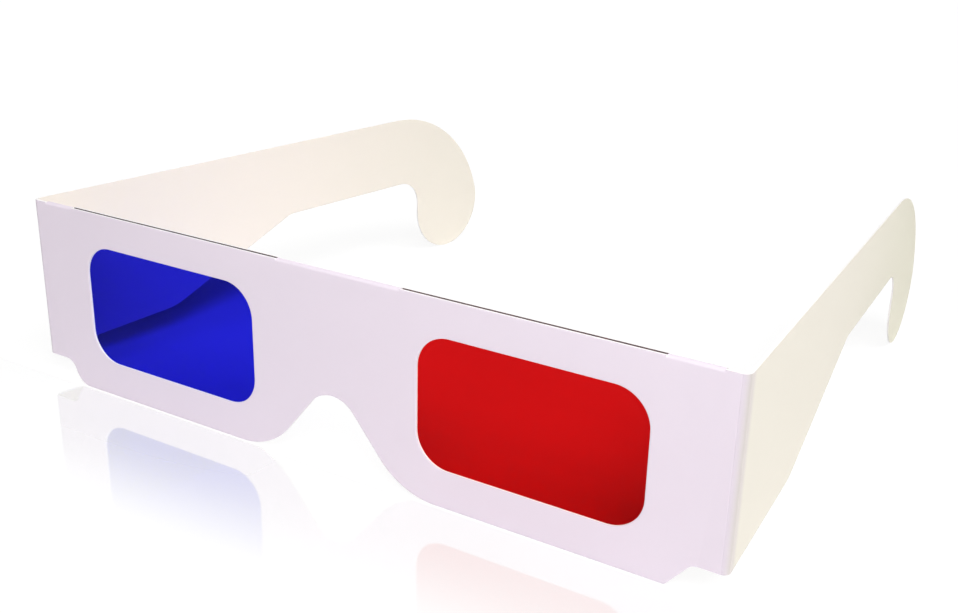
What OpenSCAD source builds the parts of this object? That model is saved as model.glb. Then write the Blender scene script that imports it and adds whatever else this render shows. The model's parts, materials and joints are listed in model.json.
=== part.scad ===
// Folding card glasses with a blue and a red filter film.
// Left and right are the wearer's: the wearer looks along -Y, so left is +X.
// The front stands upright with its outer face towards -Y, and the temples run back along +Y.
// The two lobes of the front and the tips of the two temples stand on Z = 0.

/* [Card and film] */
// Thickness of the card
card_t = 0.4; // [0.3:0.05:0.6]
// Thickness of a filter film
film_t = 0.12; // [0.08:0.01:0.2]
// Thickness of the glue between a film and the front panel
film_glue_t = 0.06; // [0.04:0.01:0.1]

/* [Front] */
// Width over the outer faces of the temples at their folds
front_w = 141; // [134:1:160]
// Height of the front and of the temples
front_h = 36; // [34:1:44]
// Height of the notch in each lower outer corner
corner_h = 4.7; // [3:0.1:7]
// Width of the left notch at its foot
left_corner_w = 9.4; // [7:0.1:12]
// Width of the right notch at its foot
right_corner_w = 8.6; // [7:0.1:12]
// Slope of the left notch's inner side, in degrees
left_corner_angle = 50; // [40:1:75]
// Slope of the right notch's inner side, in degrees
right_corner_angle = 66; // [40:1:75]
// Radius of the left notch's outward corner
left_corner_foot_r = 0.9; // [0.7:0.1:2.5]
// Radius of the right notch's outward corner
right_corner_foot_r = 3.5; // [1:0.1:4]
// Radius of the left notch's inward corner
left_corner_root_r = 2; // [0.8:0.1:2.5]
// Radius of the right notch's inward corner
right_corner_root_r = 2.6; // [0.8:0.1:3]

/* [Nose notch] */
// Height of the nose notch
nose_h = 14; // [10:0.5:17]
// Radius of its crest
nose_crest_r = 5.5; // [4:0.5:8]
// Slope of its sides, in degrees
nose_angle = 51; // [45:1:60]
// Radius where its sides run into the lobes' lower edges
nose_foot_r = 14; // [8:0.5:18]

/* [Windows] */
// Distance between the middles of the two windows
window_spacing = 74; // [70:0.5:78]
// Height of the windows' middles
window_z = 18.25; // [17:0.25:20]
// Width of a window
window_w = 40; // [34:0.5:44]
// Height of a window
window_h = 23; // [18:0.5:25]
// Radius of a window's corners
window_r = 6; // [3:0.5:9]

/* [Filters] */
// Overlap of a film on the card at the foot of its window
film_margin = 3; // [2:0.1:4]
// Overlap of the red film on the card between its window and the temple
red_film_end_margin = 1.2; // [1:0.1:3]
// Overlap of the blue film on the card between its window and the temple
blue_film_end_margin = 2.9; // [1:0.1:4]
// Overlap of the red film on the card between its window and the nose
red_film_bridge_margin = 3; // [2:0.1:6]
// Overlap of the blue film on the card between its window and the nose
blue_film_bridge_margin = 5.4; // [2:0.1:6]
// Depth of a film's upper edge below the top of the card
film_drop = 0.15; // [0.05:0.05:0.5]
// Room at each end of a film in the slit along the top fold
slit_clear = 0.25; // [0.1:0.05:0.6]
// Height of the glue strips above and below a window
film_glue_h = 1.6; // [1:0.1:2]
// Distance from those strips to the window and to the ends of the film
film_glue_inset = 0.8; // [0.4:0.1:1]

/* [Back panel] */
// Distance from its ends to the outer faces of the temples at their folds
back_setback = 3.5; // [3:0.1:6]
// Amount by which its lower edge lies inside the front panel's
back_reveal = 0.6; // [0.2:0.1:1]
// Amount by which its windows are larger than the front panel's, all round
back_window_margin = 0.8; // [0.4:0.1:1]
// Distance from the panel glue to the films and to the card's edges
glue_margin = 0.5; // [0.3:0.1:1]

/* [Temples] */
// Length of a temple behind the front face
temple_len = 127; // [120:0.5:140]
// Height of the straight stretch ahead of the ear hook
temple_arm_h = 16.3; // [12:0.1:20]
// Rise of the lower edge from the fold to the taper
temple_root_rise = 1.5; // [0.5:0.1:4]
// Distance behind the front face at which the taper starts
taper_start = 30; // [24:0.5:36]
// Distance behind the front face at which it ends
taper_end = 62.5; // [54:0.5:66]
// Radius of the lower edge where the taper starts
taper_start_r = 14; // [6:0.5:18]
// Radius of the lower edge where the taper ends
taper_end_r = 5; // [3:0.5:12]
// Radius of the ear hook's round tip
hook_tip_r = 11.2; // [9:0.1:13]
// Radius of the ear hook's rear upper corner, which runs straight into the tip
hook_crown_r = 30.5; // [24:0.5:32]
// Radius of the corner in front of the ear hook
hook_throat_r = 6; // [3:0.1:8]

/* [Temple folds] */
// Outer radius of the bend where a temple leaves the front
fold_r = 1.2; // [0.9:0.1:1.6]
// Inward lean of the left temple as it stands, in degrees
left_lean = 2.5; // [0:0.1:12]
// Inward lean of the right temple as it stands, in degrees
right_lean = 9.3; // [0:0.1:12]

/* [Hidden] */
$fn = 96;
// Largest turn between neighbouring points of a rounded corner, in degrees
arc_step = 5;

// Layers of the front, from the outer face back
gap_t = film_glue_t + film_t;
stack_t = 2 * card_t + gap_t;
rear_reach = fold_r + max([for (lean = [left_lean, right_lean])
    (temple_len - fold_r) * cos(lean) + fold_r * sin(lean)]);
front_y = -rear_reach / 2;
glue_y = front_y + card_t;
film_y = glue_y + film_glue_t;
back_y = glue_y + gap_t;

// Axes of the temple folds, and of the folds along the top
fold_x = front_w / 2 - fold_r;
fold_y = front_y + fold_r;
top_fold_y = front_y + stack_t / 2;
top_fold_z = front_h - stack_t / 2;

// Notches, each as its width, slope, foot radius and root radius
left_notch = [left_corner_w, left_corner_angle, left_corner_foot_r, left_corner_root_r];
right_notch = [right_corner_w, right_corner_angle, right_corner_foot_r, right_corner_root_r];

// Places of the windows and films, with each film's ends as distances from the middle of the front
window_x = window_spacing / 2;
window_in_x = window_x - window_w / 2;
window_out_x = window_x + window_w / 2;
red_film_ends = [window_in_x - red_film_bridge_margin, window_out_x + red_film_end_margin];
blue_film_ends = [window_in_x - blue_film_bridge_margin, window_out_x + blue_film_end_margin];
film_foot_z = window_z - window_h / 2 - film_margin;
film_top_z = front_h - film_drop;
back_x = front_w / 2 - back_setback;

// Outlines

function unit(v) = v / norm(v);

function turned(p, angle) = [
    p.x * cos(angle) - p.y * sin(angle),
    p.x * sin(angle) + p.y * cos(angle)
];

// Points of the corner at b, rounded by r, on the way from a to c
function corner_points(a, b, c, r) =
    let (
        to_a = unit(a - b),
        to_c = unit(c - b),
        half = acos(to_a * to_c) / 2,
        turn = 180 - 2 * half,
        steps = ceil(turn / arc_step),
        middle = b + unit(to_a + to_c) * r / sin(half),
        start = b + to_a * r / tan(half) - middle,
        way = -sign(cross(to_a, to_c))
    )
    r > 0 ? [for (i = [0 : steps]) middle + turned(start, way * turn * i / steps)] : [b];

// Outline through corners given as [point, radius]
function rounded(corners) =
    let (n = len(corners))
    [for (i = [0 : n - 1])
        each corner_points(
            corners[(i + n - 1) % n][0], corners[i][0],
            corners[(i + 1) % n][0], corners[i][1]
        )
    ];

// Half of a panel's corners, from the nose crest round to the top, as on the left,
// with the lower edge drawn in by inset and the end at end_x
function panel_half(inset, end_x, notch) =
    let (
        slope = notch[1],
        crest_r = nose_crest_r + inset,
        crest_z = nose_h + inset + crest_r * (1 / cos(nose_angle) - 1),
        nose_foot_x = (crest_z - inset) / tan(nose_angle),
        foot_x = front_w / 2 - notch[0] - inset * tan(slope / 2),
        root_z = corner_h + inset,
        root_x = foot_x + corner_h / tan(slope),
        root_room = (end_x - root_x) / tan(slope / 2)
    )
    [
        [[0, crest_z], crest_r],
        [[nose_foot_x, inset], nose_foot_r - inset],
        [[foot_x, inset], notch[2] - inset],
        [[root_x, root_z], min(notch[3] + inset, root_room)],
        [[end_x, root_z], 0],
        [[end_x, front_h], 0]
    ];

function panel_outline(inset, end_x) =
    let (
        left = panel_half(inset, end_x, left_notch),
        right = panel_half(inset, end_x, right_notch)
    )
    rounded([
        each left,
        for (i = [len(right) - 1 : -1 : 1]) [[-right[i][0].x, right[i][0].y], right[i][1]]
    ]);

function window_outline(x, grow) =
    let (
        w = window_w / 2 + grow,
        h = window_h / 2 + grow
    )
    rounded([for (s = [[-1, -1], [1, -1], [1, 1], [-1, 1]])
        [[x + s.x * w, window_z + s.y * h], window_r + grow]
    ]);

// Outline of a temple: distance behind the front face, and height
function temple_outline() =
    let (
        arm_z = front_h - temple_arm_h,
        tip_x = temple_len - hook_tip_r,
        hook_lean = asin((hook_crown_r + hook_tip_r - front_h) / (hook_crown_r - hook_tip_r)),
        heel_x = tip_x + hook_tip_r / tan((90 - hook_lean) / 2)
    )
    rounded([
        [[fold_r, corner_h], 0],
        [[taper_start, corner_h + temple_root_rise], taper_start_r],
        [[taper_end, arm_z], taper_end_r],
        [[tip_x - hook_tip_r, arm_z], hook_throat_r],
        [[tip_x - hook_tip_r, 0], hook_tip_r],
        [[heel_x, 0], hook_tip_r],
        [[heel_x - front_h * tan(hook_lean), front_h], hook_crown_r],
        [[fold_r, front_h], 0]
    ]);

// Shared shapes

// An upright layer with its outer face at y
module layer(y, t) {
    translate([0, y + t, 0])
        rotate([90, 0, 0])
            linear_extrude(t)
                children();
}

// A rectangle from corner a to corner b
module patch(a, b) {
    translate(a)
        square(b - a);
}

// Stretches along the top where the card folds over whole, as [from, to]
top_folds = [
    [-back_x, -blue_film_ends[1] - slit_clear],
    [slit_clear - blue_film_ends[0], red_film_ends[0] - slit_clear],
    [red_film_ends[1] + slit_clear, back_x]
];

module panel(inset, end_x, window_grow) {
    difference() {
        polygon(panel_outline(inset, end_x));
        for (side = [-1, 1])
            polygon(window_outline(side * window_x, window_grow));
        for (span = top_folds)
            patch([span[0], top_fold_z], [span[1], front_h + card_t]);
    }
}

// Card bent over the top of the front along one span
module top_fold(span) {
    translate([span[0], top_fold_y, top_fold_z])
        rotate([90, 0, 90])
            rotate_extrude(angle = 180)
                patch([gap_t / 2, 0], [stack_t / 2, span[1] - span[0]]);
}

// Temple on the right, leaning inwards about its fold
module temple(lean) {
    translate([-fold_x, fold_y, 0])
        rotate([0, 0, -lean])
            translate([-fold_r, -fold_r, 0])
                rotate([90, 0, 90])
                    linear_extrude(card_t)
                        polygon(temple_outline());
}

// Bent card between the front panel and the right temple
module temple_fold(lean) {
    translate([-fold_x, fold_y, 0])
        rotate([0, 0, 180 - lean])
            rotate_extrude(angle = 90 + lean)
                patch([fold_r - card_t, corner_h], [fold_r, front_h]);
}

// Film with its ends at the given distances from the middle, as on the left
module filter(ends) {
    layer(film_y, film_t)
        patch([ends[0], film_foot_z], [ends[1], film_top_z]);
}

// Glue strips above and below the window of such a film
module filter_glue(ends) {
    over_z = window_z + window_h / 2 + film_glue_inset;
    under_z = window_z - window_h / 2 - film_glue_inset - film_glue_h;
    layer(glue_y, film_glue_t)
        for (z = [over_z, under_z])
            patch([ends[0] + film_glue_inset, z], [ends[1] - film_glue_inset, z + film_glue_h]);
}

// Glue between the two panels beyond the outer end of such a film
module panel_glue_end(ends) {
    layer(glue_y, gap_t)
        patch(
            [ends[1] + glue_margin, corner_h + back_reveal + glue_margin],
            [back_x - glue_margin, top_fold_z - glue_margin]
        );
}

// Pieces

module front_panel() {
    color("lavender")
        layer(front_y, card_t)
            panel(0, fold_x, 0);
}

module back_panel() {
    color("ivory")
        layer(back_y, card_t)
            panel(back_reveal, back_x, back_window_margin);
}

module top_fold_left() {
    color("lavender")
        top_fold(top_folds[2]);
}

module top_fold_centre() {
    color("lavender")
        top_fold(top_folds[1]);
}

module top_fold_right() {
    color("lavender")
        top_fold(top_folds[0]);
}

module left_temple() {
    color("ivory")
        mirror([1, 0, 0])
            temple(left_lean);
}

module right_temple() {
    color("ivory")
        temple(right_lean);
}

module left_temple_fold() {
    color("ivory")
        mirror([1, 0, 0])
            temple_fold(left_lean);
}

module right_temple_fold() {
    color("ivory")
        temple_fold(right_lean);
}

module red_filter() {
    color("red", 0.8)
        filter(red_film_ends);
}

module blue_filter() {
    color("blue", 0.8)
        mirror([1, 0, 0])
            filter(blue_film_ends);
}

module red_filter_glue() {
    color("wheat")
        filter_glue(red_film_ends);
}

module blue_filter_glue() {
    color("wheat")
        mirror([1, 0, 0])
            filter_glue(blue_film_ends);
}

module panel_glue_left() {
    color("wheat")
        panel_glue_end(red_film_ends);
}

module panel_glue_right() {
    color("wheat")
        mirror([1, 0, 0])
            panel_glue_end(blue_film_ends);
}

// Glue between the two panels above the nose
module panel_glue_centre() {
    color("wheat")
        layer(glue_y, gap_t)
            patch(
                [glue_margin - blue_film_ends[0], nose_h + back_reveal + glue_margin],
                [red_film_ends[0] - glue_margin, top_fold_z - glue_margin]
            );
}

front_panel();
back_panel();
top_fold_left();
top_fold_centre();
top_fold_right();
left_temple();
right_temple();
left_temple_fold();
right_temple_fold();
red_filter();
blue_filter();
red_filter_glue();
blue_filter_glue();
panel_glue_left();
panel_glue_centre();
panel_glue_right();
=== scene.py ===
"""Dresses the folding card glasses: card, creases and films, with a floor, light and a camera."""

import json
from math import atan2, pi, radians

import bmesh
import bpy
from mathutils import Matrix, Vector


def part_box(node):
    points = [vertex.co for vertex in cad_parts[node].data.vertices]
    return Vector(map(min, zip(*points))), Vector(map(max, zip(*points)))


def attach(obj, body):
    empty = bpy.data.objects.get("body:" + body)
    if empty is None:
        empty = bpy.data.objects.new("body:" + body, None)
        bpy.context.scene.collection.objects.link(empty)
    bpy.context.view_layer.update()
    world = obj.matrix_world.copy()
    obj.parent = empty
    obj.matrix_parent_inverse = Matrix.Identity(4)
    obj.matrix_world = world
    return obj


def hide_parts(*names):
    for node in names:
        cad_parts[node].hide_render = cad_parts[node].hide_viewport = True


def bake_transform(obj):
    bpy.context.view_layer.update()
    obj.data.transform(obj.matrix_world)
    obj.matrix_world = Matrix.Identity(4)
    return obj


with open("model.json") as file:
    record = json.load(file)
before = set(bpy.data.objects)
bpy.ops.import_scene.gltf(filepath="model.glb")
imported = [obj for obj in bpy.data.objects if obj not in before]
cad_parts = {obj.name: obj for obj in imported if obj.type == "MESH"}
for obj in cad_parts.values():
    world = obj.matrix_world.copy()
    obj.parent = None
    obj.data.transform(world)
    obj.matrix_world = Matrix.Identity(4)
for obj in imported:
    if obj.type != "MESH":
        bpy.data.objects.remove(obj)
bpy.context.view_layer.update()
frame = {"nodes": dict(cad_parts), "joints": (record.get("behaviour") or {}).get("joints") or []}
scene = bpy.context.scene
bpy.ops.object.select_all(action="DESELECT")

MM = 0.001
UP = Vector((0, 0, 1))
FORWARD = Vector((0, -1, 0))
WHITE = (1, 1, 1, 1)

# A point this close to a seam lies on it, and points this close to each other are merged
SAME_PLACE = 0.01 * MM
SAME_POINT = 0.001 * MM
# A face looks along a direction where the cosine of the angle between them is above this
FACING = 0.9

# Sizes taken from the CAD pieces
front_low, front_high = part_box("front_panel")
fold_low, fold_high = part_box("top_fold_centre")
CARD_T = front_high.y - front_low.y
FRONT_Y = front_low.y
TOP_FOLD_Z = fold_low.z
TOP_FOLD_DEPTH = fold_high.y - fold_low.y

# The cutting die rounds the rims of the card by this much
RIM_W = 0.22 * MM
RIM_DROP = 0.05 * MM

# The two layers of the front spring apart a little along the top
SPREAD = 0.25 * MM
SPREAD_FOOT_Z = 28.5 * MM
SPREAD_ROWS = 5

# Steps round a fold along the top
FOLD_STEPS = 40

# Steps round the bend of a temple, and those of them at which a score line is pressed
CREASE_STEPS = 24
SCORE_ROWS = (2, 21)
SCORE_DEPTH = 0.05 * MM

# Slack of a film inside its window
FILM_CELL = 1 * MM
FILM_SLACK = 0.12 * MM
FILM_SLACK_SIZE = 14 * MM
FILM_HELD_MARGIN = 7 * MM

# Triangles of a CAD piece that meet at less than this angle are one flat face
FLAT_ANGLE = radians(0.5)
# Faces that meet at less than these angles are shaded as one surface
CARD_SMOOTHING = radians(8)
FOLD_SMOOTHING = radians(20)
FILM_SMOOTHING = radians(30)

# Where a sheet keeps the materials of its outer side, cut edge and inner side
OUTER = 0
EDGE = 1
INNER = 2


# Modelling helpers

def select_only(piece):
    """Makes the piece the only selected one, and the active one."""
    bpy.ops.object.select_all(action="DESELECT")
    piece.select_set(True)
    bpy.context.view_layer.objects.active = piece


def start_edit(piece):
    """Enters edit mode on the piece alone, with everything in it selected."""
    select_only(piece)
    bpy.ops.object.mode_set(mode="EDIT")
    bpy.ops.mesh.select_all(action="SELECT")


def end_edit():
    bpy.ops.object.mode_set(mode="OBJECT")


def select_faces(piece, wanted):
    """Selects the faces for which wanted(normal) is true."""
    bpy.ops.mesh.select_mode(type="FACE")
    bpy.ops.mesh.select_all(action="DESELECT")
    mesh = bmesh.from_edit_mesh(piece.data)
    for face in mesh.faces:
        face.select_set(wanted(face.normal))
    bmesh.update_edit_mesh(piece.data)


def select_points(piece, wanted):
    """Selects the points for which wanted(place) is true."""
    bpy.ops.mesh.select_mode(type="VERT")
    bpy.ops.mesh.select_all(action="DESELECT")
    mesh = bmesh.from_edit_mesh(piece.data)
    for point in mesh.verts:
        point.select_set(wanted(point.co))
    mesh.select_flush(True)
    bmesh.update_edit_mesh(piece.data)


def name_and_size(name, width, depth):
    """Names the flat primitive just added and sizes it, with its place put into its mesh."""
    piece = bpy.context.object
    piece.name = name
    piece.scale = (width, depth, 1)
    bpy.ops.object.transform_apply(location=True, rotation=True, scale=True)
    return piece


def spin_sheet(steps, angle, centre, axis):
    """Spins the strip being edited round an axis into a bent sheet."""
    bpy.ops.mesh.spin(steps=steps, angle=angle, center=centre, axis=axis)
    bpy.ops.mesh.select_all(action="SELECT")
    bpy.ops.mesh.remove_doubles(threshold=SAME_POINT)
    bpy.ops.mesh.normals_make_consistent(inside=False)


def apply_modifiers(piece):
    select_only(piece)
    for modifier in list(piece.modifiers):
        bpy.ops.object.modifier_apply(modifier=modifier.name)


def smooth(piece, angle):
    """Shades faces that meet at less than the angle as one surface."""
    select_only(piece)
    bpy.ops.object.shade_smooth_by_angle(angle=angle)


def weigh_points(piece, name, weight):
    """A vertex group in which each point weighs what weight(place) says."""
    group = piece.vertex_groups.new(name=name)
    for point in piece.data.vertices:
        group.add([point.index], weight(point.co), "REPLACE")
    return group.name


def mark_points(piece, name, value):
    """A number on each point of the piece, for its material."""
    marks = piece.data.attributes.new(name, "FLOAT", "POINT")
    for point in piece.data.vertices:
        marks.data[point.index].value = value(point.co)


def level(vector):
    """The vector without its height."""
    return Vector((vector.x, vector.y, 0))


def ease(value):
    """From 0 to 1 with a soft start and end."""
    value = min(max(value, 0), 1)
    return value * value * (3 - 2 * value)


# Card pieces

def copied_card(node, name):
    """A copy of a flat CAD piece, with its triangles joined into whole faces."""
    piece = bpy.data.objects.new(name, frame["nodes"][node].data.copy())
    scene.collection.objects.link(piece)
    piece.data.materials.clear()
    start_edit(piece)
    bpy.ops.mesh.customdata_custom_splitnormals_clear()
    bpy.ops.mesh.remove_doubles(threshold=SAME_POINT)
    bpy.ops.mesh.dissolve_limited(angle_limit=FLAT_ANGLE)
    end_edit()
    return piece


def roll_rims(piece, outward, on_seam):
    """Rolls the cut rims of both faces back, apart from where the sheet goes on into a fold."""
    start_edit(piece)
    for facing in (outward, -outward):
        select_faces(piece, lambda normal: normal.dot(facing) > FACING)
        bpy.ops.mesh.inset(thickness=RIM_W, depth=0)
        mesh = bmesh.from_edit_mesh(piece.data)
        flat = [face for face in mesh.faces if face.normal.dot(facing) > FACING]
        inner = {point for face in flat if face.select for point in face.verts}
        rim = {point for face in flat for point in face.verts} - inner
        bpy.ops.mesh.select_mode(type="VERT")
        bpy.ops.mesh.select_all(action="DESELECT")
        for point in rim:
            point.select_set(not on_seam(point.co))
        bmesh.update_edit_mesh(piece.data)
        bpy.ops.transform.translate(value=-facing * RIM_DROP)
    end_edit()


def face_sheet(piece, materials, is_cut, is_outer):
    """Gives the sheet its materials, and each of its faces the one for the side that it lies on."""
    for material in materials:
        piece.data.materials.append(material)
    for face in piece.data.polygons:
        side = OUTER if is_outer(face) else INNER
        face.material_index = EDGE if is_cut(face) else side


def finish_sheet(piece, outward, outer, edge, inner):
    """Gives each side of a flat sheet its material, and smooths the rounded outlines."""
    face_sheet(
        piece,
        (outer, edge, inner),
        is_cut=lambda face: abs(face.normal.dot(outward)) < FACING,
        is_outer=lambda face: face.normal.dot(outward) > 0,
    )
    smooth(piece, CARD_SMOOTHING)


def place(piece, body, slot, *nodes):
    """The piece rides on a body and stands for CAD nodes, which it hides; the slot is not used."""
    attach(piece, body)
    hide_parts(*nodes)


def on_top_seam(point):
    return abs(point.z - TOP_FOLD_Z) < SAME_PLACE


def on_front_seam(point):
    """True where the front goes on into a fold, along the top or at an end."""
    return on_top_seam(point) or abs(point.x) > front_high.x - SAME_PLACE


def front_card(outer, edge, inner):
    piece = copied_card("front_panel", "front_card")
    roll_rims(piece, FORWARD, on_front_seam)
    finish_sheet(piece, FORWARD, outer, edge, inner)
    place(piece, "front", "front_card", "front_panel")


def back_spread(point):
    """How far the sheet has sprung back at this height: 0 up to the foot, and 1 at the top folds."""
    return ease((point.z - SPREAD_FOOT_Z) / (TOP_FOLD_Z - SPREAD_FOOT_Z) / 2) * 2


def spring_back(piece):
    """Leans the upper part of a sheet backwards."""
    lean = piece.modifiers.new("lean", "DISPLACE")
    lean.direction = "Y"
    lean.mid_level = 0
    lean.strength = SPREAD
    lean.vertex_group = weigh_points(piece, "lean", back_spread)


def back_card(outer, edge, inner):
    """The back layer of the front, cut into rows where it leans back."""
    piece = copied_card("back_panel", "back_card")
    roll_rims(piece, -FORWARD, on_top_seam)
    start_edit(piece)
    for row in range(SPREAD_ROWS):
        height = SPREAD_FOOT_Z + (TOP_FOLD_Z - SPREAD_FOOT_Z) * row / SPREAD_ROWS
        bpy.ops.mesh.select_all(action="SELECT")
        bpy.ops.mesh.bisect(plane_co=UP * height, plane_no=UP)
    end_edit()
    finish_sheet(piece, -FORWARD, outer, edge, inner)
    spring_back(piece)
    apply_modifiers(piece)
    place(piece, "front", "back_card", "back_panel")


def top_fold(node, outer, edge):
    """The sheet bent over the top of the front, spun up from its lower front edge."""
    low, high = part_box(node)
    start = ((low.x + high.x) / 2, FRONT_Y + CARD_T / 2, TOP_FOLD_Z)
    bpy.ops.mesh.primitive_plane_add(size=1, location=start)
    piece = name_and_size(node + "_card", high.x - low.x, CARD_T)
    start_edit(piece)
    middle = (0, FRONT_Y + TOP_FOLD_DEPTH / 2, TOP_FOLD_Z)
    spin_sheet(FOLD_STEPS, pi, middle, (1, 0, 0))
    bpy.ops.transform.resize(
        value=(1, 1 + SPREAD / TOP_FOLD_DEPTH, 1), center_override=(0, FRONT_Y, TOP_FOLD_Z)
    )
    end_edit()
    face_sheet(
        piece,
        (outer, edge),
        is_cut=lambda face: abs(face.normal.x) > FACING,
        is_outer=lambda face: True,
    )
    smooth(piece, FOLD_SMOOTHING)
    place(piece, "front", "front_card", node)


def temple_outward(node, side):
    """Direction in which a temple's outer face looks."""
    faces = frame["nodes"][node].data.polygons
    outer = max((face for face in faces if face.normal.x * side > FACING), key=lambda face: face.area)
    return outer.normal.copy()


def temple_card(node, body, side, axis, outer, edge, inner):
    """A temple, whose rims are rolled everywhere but at its crease."""
    piece = copied_card(node, node + "_card")
    outward = temple_outward(node, side)
    along = outward.cross(UP) * -side
    roll_rims(piece, outward, lambda point: (point - axis).dot(along) < SAME_PLACE)
    finish_sheet(piece, outward, outer, edge, inner)
    place(piece, body, "temple_card", node)


def temple_crease(temple, side, axis, outer, edge, inner):
    """The bent sheet between the front and a temple, with its pressed score lines."""
    node = temple + "_fold"
    low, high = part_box(node)
    outward = temple_outward(temple, side)
    turn = FORWARD.angle(outward)
    outer_r = axis.y - FRONT_Y
    middle_r = outer_r - CARD_T / 2
    start = Vector((axis.x, FRONT_Y + CARD_T / 2, (low.z + high.z) / 2))
    bpy.ops.mesh.primitive_plane_add(size=1, location=start, rotation=(0, pi / 2, 0))
    piece = name_and_size(temple + "_crease", high.z - low.z, CARD_T)
    start_edit(piece)
    spin_sheet(CREASE_STEPS, -side * turn, axis, UP)

    def share(point):
        """Share of the bend that lies before the point."""
        return atan2((point.x - axis.x) * side, axis.y - point.y) / turn

    def on_score(point):
        row = round(share(point) * CREASE_STEPS)
        return level(point - axis).length > middle_r and row in SCORE_ROWS

    select_points(piece, on_score)
    shrink = 1 - SCORE_DEPTH / outer_r
    bpy.ops.transform.resize(value=(shrink, shrink, 1), center_override=axis)
    end_edit()
    face_sheet(
        piece,
        (outer, edge, inner),
        is_cut=lambda face: abs(face.normal.z) > FACING,
        is_outer=lambda face: face.normal.dot(level(face.center - axis)) > 0,
    )
    mark_points(piece, "bend", share)
    mark_points(piece, "score", lambda point: float(on_score(point)))
    smooth(piece, FOLD_SMOOTHING)
    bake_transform(piece)
    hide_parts(node)


# Films

def film(node, name, slot, material):
    """A thin sheet that leans back with the card along the top and is slack in its window."""
    low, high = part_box(node)
    middle = (low + high) / 2
    bpy.ops.mesh.primitive_grid_add(
        x_subdivisions=round((high.x - low.x) / FILM_CELL),
        y_subdivisions=round((high.z - low.z) / FILM_CELL),
        size=1,
        location=(middle.x, low.y, middle.z),
        rotation=(pi / 2, 0, 0),
    )
    piece = name_and_size(name, high.x - low.x, high.z - low.z)
    spring_back(piece)

    def slack(point):
        """From 0 where the card holds the film to 1 well inside its window."""
        from_edge = min(point.x - low.x, high.x - point.x, point.z - low.z, high.z - point.z)
        return ease((from_edge - FILM_HELD_MARGIN) / FILM_HELD_MARGIN)

    ripples = bpy.data.textures.new(name + "_ripples", "CLOUDS")
    ripples.noise_scale = FILM_SLACK_SIZE
    ripples.noise_depth = 0
    wave = piece.modifiers.new("wave", "DISPLACE")
    wave.direction = "Y"
    wave.texture = ripples
    wave.texture_coords = "LOCAL"
    wave.strength = FILM_SLACK
    wave.vertex_group = weigh_points(piece, "slack", slack)
    sheet = piece.modifiers.new("sheet", "SOLIDIFY")
    sheet.thickness = high.y - low.y
    sheet.offset = -1
    apply_modifiers(piece)
    piece.data.materials.append(material)
    smooth(piece, FILM_SMOOTHING)
    place(piece, "front", slot, node)


# Shader helpers

def node_group(name, inputs, outputs):
    """A shader node group with its sockets; returns it with its two end nodes."""
    group = bpy.data.node_groups.new(name, "ShaderNodeTree")
    for label, kind in inputs:
        group.interface.new_socket(label, in_out="INPUT", socket_type="NodeSocket" + kind)
    for label, kind in outputs:
        group.interface.new_socket(label, in_out="OUTPUT", socket_type="NodeSocket" + kind)
    return group, group.nodes.new("NodeGroupInput"), group.nodes.new("NodeGroupOutput")


def feed(tree, socket, value):
    """Links a socket's value, or sets it where it is a plain number or colour."""
    if isinstance(value, bpy.types.NodeSocket):
        tree.links.new(value, socket)
    else:
        socket.default_value = value


def maths(tree, operation, *values):
    node = tree.nodes.new("ShaderNodeMath")
    node.operation = operation
    for socket, value in zip(node.inputs, values):
        feed(tree, socket, value)
    return node.outputs[0]


def vectors(tree, operation, first, second):
    """A sum on two vectors, or on a vector and a number where it scales."""
    node = tree.nodes.new("ShaderNodeVectorMath")
    node.operation = operation
    feed(tree, node.inputs[0], first)
    feed(tree, node.inputs["Scale" if operation == "SCALE" else 1], second)
    return node.outputs[0]


def weighted(tree, share, first, second):
    """The first value for its share and the second one for the rest."""
    first_part = maths(tree, "MULTIPLY", first, share)
    second_part = maths(tree, "MULTIPLY", second, 1 - share)
    return maths(tree, "ADD", first_part, second_part)


def mixed(tree, share, first, second):
    """A colour between two colours."""
    node = tree.nodes.new("ShaderNodeMix")
    node.data_type = "RGBA"
    feed(tree, node.inputs["Factor"], share)
    feed(tree, node.inputs["A"], first)
    feed(tree, node.inputs["B"], second)
    return node.outputs["Result"]


def mixed_shaders(tree, share, first, second):
    node = tree.nodes.new("ShaderNodeMixShader")
    feed(tree, node.inputs[0], share)
    feed(tree, node.inputs[1], first.outputs[0])
    feed(tree, node.inputs[2], second.outputs[0])
    return node


def noise(tree, vector, scale, detail):
    node = tree.nodes.new("ShaderNodeTexNoise")
    feed(tree, node.inputs["Vector"], vector)
    feed(tree, node.inputs["Scale"], scale)
    feed(tree, node.inputs["Detail"], detail)
    return node.outputs["Fac"]


def ramped(tree, value, low, high):
    """From 0 at low to 1 at high, with a soft start and end."""
    node = tree.nodes.new("ShaderNodeMapRange")
    node.interpolation_type = "SMOOTHSTEP"
    feed(tree, node.inputs["Value"], value)
    feed(tree, node.inputs["From Min"], low)
    feed(tree, node.inputs["From Max"], high)
    return node.outputs["Result"]


def dimmed(tree, amount, loss, full=1):
    """The full value, less the loss for its amount."""
    return maths(tree, "MULTIPLY_ADD", amount, -loss, full)


def marked(tree, name):
    """The number that a piece carries on its points under this name."""
    node = tree.nodes.new("ShaderNodeAttribute")
    node.attribute_name = name
    return node.outputs["Fac"]


def place_along(tree, axis):
    """Place along one of the axes of the piece, in metres."""
    coordinates = tree.nodes.new("ShaderNodeTexCoord")
    split = tree.nodes.new("ShaderNodeSeparateXYZ")
    feed(tree, split.inputs[0], coordinates.outputs["Object"])
    return split.outputs[axis]


def bump(tree, shader, height, strength, depth):
    node = tree.nodes.new("ShaderNodeBump")
    node.inputs["Strength"].default_value = strength
    node.inputs["Distance"].default_value = depth
    feed(tree, node.inputs["Height"], height)
    feed(tree, shader.inputs["Normal"], node.outputs["Normal"])


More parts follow.
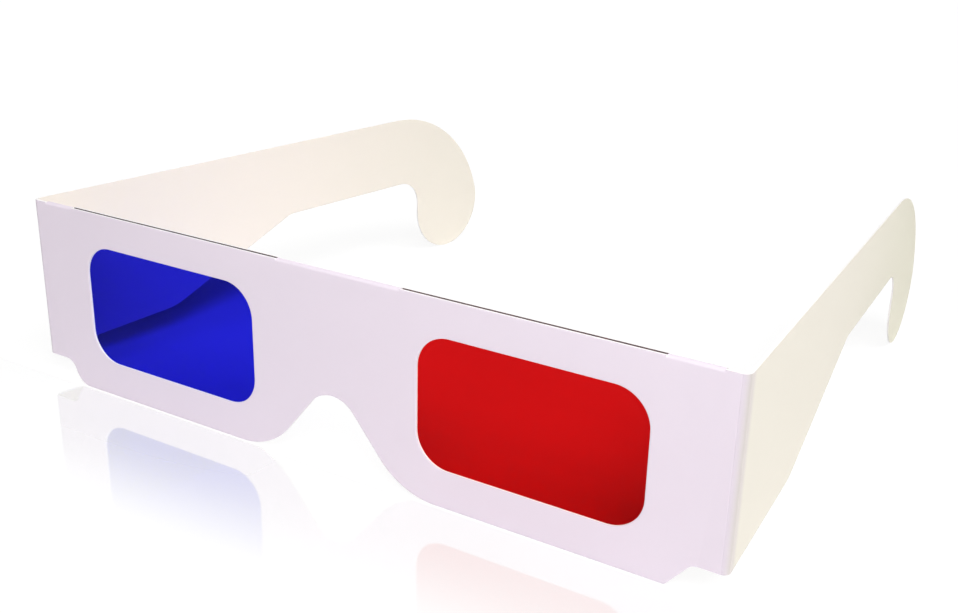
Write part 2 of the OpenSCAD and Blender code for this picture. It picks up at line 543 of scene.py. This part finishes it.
def new_material(name):
    """A material with its node tree and its surface shader."""
    material = bpy.data.materials.new(name)
    material.use_nodes = True
    tree = material.node_tree
    return material, tree, tree.nodes["Principled BSDF"]


def placed_group(tree, group, colour, contrast):
    """The outputs of a node group that is laid over the piece."""
    node = tree.nodes.new("ShaderNodeGroup")
    node.node_tree = group
    coordinates = tree.nodes.new("ShaderNodeTexCoord")
    feed(tree, node.inputs["Vector"], coordinates.outputs["Object"])
    feed(tree, node.inputs["Color"], colour)
    feed(tree, node.inputs["Contrast"], contrast)
    return node.outputs


# Materials

# Grain of the card: how fine its specks, fibres and clouds are on a metre, and the shares of the mix
SPECK_SCALE = 3400
FIBRE_SCALE = 2600
CLOUD_SCALE = 110
FIBRE_STRETCH = (0.2, 0.2, 1)
SPECK_SHARE = 0.55
FINE_GRAIN_SHARE = 0.7
FIBRE_DEPTH = 0.03 * MM
CARD_ROUGHNESS = 0.78
CARD_GLOSS = 0.2

# Unevenness of the films: how fine the streaks and specks of the dye are, and what they do to the gloss
STREAK_SCALE = 420
STREAK_STRETCH = (0.15, 1, 1)
DYE_SPECK_SCALE = 4200
STREAK_SHARE = 0.5
STREAK_DEPTH = 0.05 * MM
STREAK_BUMP = 0.05
DYE_CONTRAST = 0.12
FILM_ROUGHNESS = 0.03
STREAK_ROUGHNESS = 0.06
# The films bend and mirror light only faintly
FILM_IOR = 1.09

# Noise swings about this tone
MIDDLE_TONE = 0.5

# The bend of a temple, as shares of it: where its tone turns, and where its painted shade starts and
# stops
CREASE_TURN = (0.1, 0.8)
BEND_START = (0, 0.3)
BEND_STOP = (1, 0.7)
# Painted shade: how much darker the middle of the bend and the score lines are painted
BEND_PAINTED_SHADE = 0.16
SCORE_PAINTED_SHADE = 0.07
CREASE_CONTRAST = 0.05
CREASE_FIBRE = 0.35

# Painted light: the front and the temples are one card, and the lavender of the front, the cream of the
# temples and the lighter inside of the temples each stand in for the light on that side
FRONT_COLOUR = (0.785, 0.703, 0.787, 1)
# Darker tone of the bend, painted shade of the crease, carried up to a little way along a temple
CREASE_SHADE_COLOUR = (0.702, 0.65, 0.627, 1)
CREASE_SIDE_Y = (FRONT_Y + 1 * MM, FRONT_Y + 3.5 * MM)
TEMPLE_COLOUR = (0.811, 0.769, 0.681, 1)
# Painted shade: both sides of a temple are painted darker towards its hook, where less light falls
TEMPLE_HOOK_SHADED_COLOUR = (0.764, 0.738, 0.619, 1)
TEMPLE_INSIDE_COLOUR = (0.846, 0.784, 0.714, 1)
HOOK_INSIDE_SHADED_COLOUR = (0.795, 0.75, 0.662, 1)
HOOK_SHADE_Y = (-20 * MM, 60 * MM)
EDGE_COLOUR = (0.93, 0.91, 0.9, 1)
INNER_COLOUR = (0.85, 0.81, 0.76, 1)
# Painted shade: the card inside the pocket of the films is painted dark for the shadow in it, seen only
# as the dark line of the slits
POCKET_SHADE_COLOUR = (0.16, 0.11, 0.12, 1)
RED_FILM_COLOUR = (0.635, 0.0044, 0.0057, 1)
BLUE_FILM_COLOUR = (0.0122, 0.0134, 0.625, 1)
GLUE_COLOUR = (0.8, 0.76, 0.66, 1)


def shaded_colour(group, start, tone):
    """The group's colour, lighter and darker with the tone, by the group's contrast."""
    swing = maths(group, "SUBTRACT", tone, MIDDLE_TONE)
    shade = maths(group, "ADD", maths(group, "MULTIPLY", swing, start.outputs["Contrast"]), 1)
    return vectors(group, "SCALE", start.outputs["Color"], shade)


def card_fibre_group():
    """Grain of pressed card: fine specks, fibres that lie along the sheet, and a faint cloudiness."""
    group, start, end = node_group(
        "Card Fibre",
        [("Vector", "Vector"), ("Color", "Color"), ("Contrast", "Float")],
        [("Color", "Color"), ("Height", "Float")],
    )
    place_on_card = start.outputs["Vector"]
    along = vectors(group, "MULTIPLY", place_on_card, FIBRE_STRETCH)
    speck = noise(group, place_on_card, SPECK_SCALE, detail=3)
    fibre = noise(group, along, FIBRE_SCALE, detail=2)
    cloud = noise(group, place_on_card, CLOUD_SCALE, detail=2)
    fine = weighted(group, SPECK_SHARE, speck, fibre)
    tone = weighted(group, FINE_GRAIN_SHARE, fine, cloud)
    feed(group, end.inputs["Color"], shaded_colour(group, start, tone))
    feed(group, end.inputs["Height"], fine)
    return group


def film_dye_group():
    """Unevenness of a dyed film: streaks in the colour and a faint haze in the gloss."""
    group, start, end = node_group(
        "Film Dye",
        [("Vector", "Vector"), ("Color", "Color"), ("Contrast", "Float")],
        [("Color", "Color"), ("Roughness", "Float"), ("Height", "Float")],
    )
    place_on_film = start.outputs["Vector"]
    along = vectors(group, "MULTIPLY", place_on_film, STREAK_STRETCH)
    streak = noise(group, along, STREAK_SCALE, detail=2)
    speck = noise(group, place_on_film, DYE_SPECK_SCALE, detail=2)
    tone = weighted(group, STREAK_SHARE, streak, speck)
    haze = maths(group, "MULTIPLY_ADD", streak, STREAK_ROUGHNESS, FILM_ROUGHNESS)
    feed(group, end.inputs["Color"], shaded_colour(group, start, tone))
    feed(group, end.inputs["Roughness"], haze)
    feed(group, end.inputs["Height"], streak)
    return group


CARD_FIBRE = card_fibre_group()
FILM_DYE = film_dye_group()


def finish_card(tree, shader, colour, height, fibre_strength):
    """Makes the surface matt card of this colour, with its fibres standing up a little."""
    feed(tree, shader.inputs["Base Color"], colour)
    shader.inputs["Roughness"].default_value = CARD_ROUGHNESS
    shader.inputs["Specular IOR Level"].default_value = CARD_GLOSS
    bump(tree, shader, height, fibre_strength, FIBRE_DEPTH)


def card_material(name, colour, contrast, fibre_strength, turns=()):
    """Matt card, which turns to other tones along the sheet, each given as axis, span and tone."""
    material, tree, shader = new_material(name)
    for axis, span, tone in turns:
        colour = mixed(tree, ramped(tree, place_along(tree, axis), *span), colour, tone)
    fibre = placed_group(tree, CARD_FIBRE, colour, contrast)
    finish_card(tree, shader, fibre["Color"], fibre["Height"], fibre_strength)
    return material


def crease_material(name, front_colour, crease_shade_colour):
    """Card that turns from the front's tone to the crease's painted shade, darkened further by painted
    shade in the middle of the bend and along the score lines.
    """
    material, tree, shader = new_material(name)
    bend = marked(tree, "bend")
    base = mixed(tree, ramped(tree, bend, *CREASE_TURN), front_colour, crease_shade_colour)
    fibre = placed_group(tree, CARD_FIBRE, base, CREASE_CONTRAST)
    bent = maths(tree, "MULTIPLY", ramped(tree, bend, *BEND_START), ramped(tree, bend, *BEND_STOP))
    bent_shade = dimmed(tree, bent, BEND_PAINTED_SHADE)
    score_shade = dimmed(tree, marked(tree, "score"), SCORE_PAINTED_SHADE)
    shade = maths(tree, "MULTIPLY", bent_shade, score_shade)
    crease_shaded = vectors(tree, "SCALE", fibre["Color"], shade)
    finish_card(tree, shader, crease_shaded, fibre["Height"], CREASE_FIBRE)
    return material


def film_material(name, colour):
    """Clear dyed film."""
    material, tree, shader = new_material(name)
    dye = placed_group(tree, FILM_DYE, colour, DYE_CONTRAST)
    feed(tree, shader.inputs["Base Color"], dye["Color"])
    feed(tree, shader.inputs["Roughness"], dye["Roughness"])
    shader.inputs["Transmission Weight"].default_value = 1
    shader.inputs["IOR"].default_value = FILM_IOR
    bump(tree, shader, dye["Height"], STREAK_BUMP, STREAK_DEPTH)
    return material


front_face = card_material("front_face_card", FRONT_COLOUR, contrast=0.03, fibre_strength=0.3)
inner_face = card_material("inner_face_card", INNER_COLOUR, contrast=0.05, fibre_strength=0.4)
# The back layer's side inside the pocket takes the painted shade
pocket_shade_face = card_material("pocket_painted_shade_card", POCKET_SHADE_COLOUR, contrast=0.1, fibre_strength=0.4)
# Painted shade darkens both sides of the temples towards their hooks
temple_face = card_material(
    "temple_face_card",
    CREASE_SHADE_COLOUR,
    contrast=0.04,
    fibre_strength=0.3,
    turns=(("Y", CREASE_SIDE_Y, TEMPLE_COLOUR), ("Y", HOOK_SHADE_Y, TEMPLE_HOOK_SHADED_COLOUR)),
)
temple_inside = card_material(
    "temple_inside_card",
    TEMPLE_INSIDE_COLOUR,
    contrast=0.04,
    fibre_strength=0.3,
    turns=(("Y", HOOK_SHADE_Y, HOOK_INSIDE_SHADED_COLOUR),),
)
cut_edge = card_material("cut_card_edge", EDGE_COLOUR, contrast=0.1, fibre_strength=0.8)
crease_face = crease_material("creased_card", FRONT_COLOUR, CREASE_SHADE_COLOUR)
red_film = film_material("red_film", RED_FILM_COLOUR)
blue_film = film_material("blue_film", BLUE_FILM_COLOUR)
dried_glue = card_material("dried_glue", GLUE_COLOUR, contrast=0.15, fibre_strength=0.6)

# Pieces

front_card(front_face, cut_edge, inner_face)
back_card(inner_face, cut_edge, pocket_shade_face)
for stretch in ("left", "centre", "right"):
    top_fold("top_fold_" + stretch, front_face, cut_edge)
for hinge, hand, side in zip(frame["joints"], ("left", "right"), (1, -1)):
    hinge_axis = Vector(hinge["pos_m"])
    temple = hand + "_temple"
    arm = hinge["child"]
    temple_card(temple, arm, side, hinge_axis, temple_face, cut_edge, temple_inside)
    temple_crease(temple, side, hinge_axis, crease_face, cut_edge, inner_face)
film("red_filter", "red_film_sheet", "red_film", red_film)
film("blue_filter", "blue_film_sheet", "blue_film", blue_film)
for name, node in frame["nodes"].items():
    if "glue" in name:
        node.data.materials.clear()
        node.data.materials.append(dried_glue)

# Stage

FLOOR_W = 6
FLOOR_COLOUR = (0.9, 0.9, 0.9, 1)
# The floor as it is seen is mostly plain white, and for the rest lit, so that a faint shadow stays
FLOOR_WHITE = 1.06
FLOOR_WHITE_SHARE = 0.85
# The mirror image starts at the foot of the front, fades away ahead of it and is weaker on its left
MIRROR_SHARE = 0.33
MIRROR_ROUGHNESS = 0.06
MIRROR_START_Y = (FRONT_Y, FRONT_Y - 1 * MM)
MIRROR_FADE_Y = (FRONT_Y - 36 * MM, FRONT_Y - 8 * MM)
MIRROR_ENDS_X = (120 * MM, 80 * MM)
MIRROR_LOSS_LEFT = 0.5
MIRROR_LOSS_X = (-40 * MM, 50 * MM)
MIRROR_DIMMING = 0.04

WORLD_LIGHT = 0.13
# Lamps far away: the direction they stand in, their strength and their breadth in degrees
FAR_LAMPS = {
    "key": ((0.45, -0.45, 0.77), 1.1, 30),
    "side": ((0.64, 0, 0.77), 1.46, 30),
    "rear": ((-0.68, 0.72, 0.14), 1.2, 20),
}
# A round lamp close to the front, in metres and watts
SOFTBOX_PLACE = (0.1, -0.2, 0.2)
SOFTBOX_TARGET = (0, -0.03, 0.018)
SOFTBOX_W = 0.15
SOFTBOX_POWER = 0.28


def floor_material():
    """Pale, with a faint mirror image that fades away in front of the glasses and to their left."""
    material, tree, shader = new_material("pale_floor")
    shader.inputs["Base Color"].default_value = FLOOR_COLOUR
    shader.inputs["Roughness"].default_value = 1
    shader.inputs["Specular IOR Level"].default_value = 0
    white = tree.nodes.new("ShaderNodeEmission")
    gloss = tree.nodes.new("ShaderNodeBsdfGlossy")
    gloss.inputs["Color"].default_value = WHITE
    gloss.inputs["Roughness"].default_value = MIRROR_ROUGHNESS
    path = tree.nodes.new("ShaderNodeLightPath")
    depth = place_along(tree, "Y")
    across = place_along(tree, "X")
    near = ramped(tree, maths(tree, "ABSOLUTE", across), *MIRROR_ENDS_X)
    for span in (MIRROR_START_Y, MIRROR_FADE_Y):
        near = maths(tree, "MULTIPLY", near, ramped(tree, depth, *span))
    kept = dimmed(tree, ramped(tree, across, *MIRROR_LOSS_X), MIRROR_LOSS_LEFT)
    feed(tree, white.inputs["Strength"], dimmed(tree, near, MIRROR_DIMMING, full=FLOOR_WHITE))
    mirror_share = maths(tree, "MULTIPLY", maths(tree, "MULTIPLY", near, kept), MIRROR_SHARE)
    white_share = maths(tree, "MULTIPLY", path.outputs["Is Camera Ray"], FLOOR_WHITE_SHARE)
    seen = mixed_shaders(tree, white_share, shader, white)
    surface = mixed_shaders(tree, mirror_share, seen, gloss)
    feed(tree, tree.nodes["Material Output"].inputs["Surface"], surface.outputs[0])
    return material


def pale_world(light):
    """White where it is seen, in mirror and film too, and a soft light of its own strength."""
    world = bpy.data.worlds.new("studio")
    scene.world = world
    world.use_nodes = True
    tree = world.node_tree
    lit = tree.nodes["Background"]
    lit.inputs["Color"].default_value = WHITE
    lit.inputs["Strength"].default_value = light
    seen = tree.nodes.new("ShaderNodeBackground")
    seen.inputs["Color"].default_value = WHITE
    path = tree.nodes.new("ShaderNodeLightPath")
    direct = maths(tree, "MAXIMUM", path.outputs["Is Camera Ray"], path.outputs["Is Glossy Ray"])
    direct = maths(tree, "MAXIMUM", direct, path.outputs["Is Transmission Ray"])
    surface = mixed_shaders(tree, direct, lit, seen)
    feed(tree, tree.nodes["World Output"].inputs["Surface"], surface.outputs[0])


def add_lamp(name, kind, stand, target):
    """A lamp that stands in one place and looks at another."""
    lamp = bpy.data.lights.new(name, kind)
    holder = bpy.data.objects.new(name, lamp)
    scene.collection.objects.link(holder)
    holder.location = stand
    holder.rotation_euler = (Vector(target) - Vector(stand)).to_track_quat("-Z", "Y").to_euler()
    return lamp


bpy.ops.mesh.primitive_plane_add(size=FLOOR_W)
floor = bpy.context.object
floor.name = "floor"
floor.data.materials.append(floor_material())

pale_world(WORLD_LIGHT)
for name, (direction, strength, breadth) in FAR_LAMPS.items():
    sun = add_lamp(name, "SUN", direction, (0, 0, 0))
    sun.energy = strength
    sun.angle = radians(breadth)
softbox = add_lamp("softbox", "AREA", SOFTBOX_PLACE, SOFTBOX_TARGET)
softbox.shape = "DISK"
softbox.size = SOFTBOX_W
softbox.energy = SOFTBOX_POWER

# Camera, from the photograph's viewing angle: millimetres of the lens, degrees, and its place in metres

SENSOR_W = 36
LENS = 45.77
NEAREST_SEEN = 0.01
HEADING = 31.179
LOOKING_DOWN = 21.216
ROLL = 1.434
CAMERA_PLACE = (0.115773, -0.208142, 0.102042)

camera_lens = bpy.data.cameras.new("camera")
camera_lens.sensor_fit = "HORIZONTAL"
camera_lens.sensor_width = SENSOR_W
camera_lens.lens = LENS
camera_lens.clip_start = NEAREST_SEEN
camera = bpy.data.objects.new("camera", camera_lens)
scene.collection.objects.link(camera)
heading = Matrix.Rotation(radians(HEADING), 4, "Z")
pitch = Matrix.Rotation(radians(90 - LOOKING_DOWN), 4, "X")
roll = Matrix.Rotation(radians(ROLL), 4, "Z")
camera.matrix_world = Matrix.Translation(CAMERA_PLACE) @ heading @ pitch @ roll
scene.camera = camera

scene.view_settings.view_transform = "Standard"
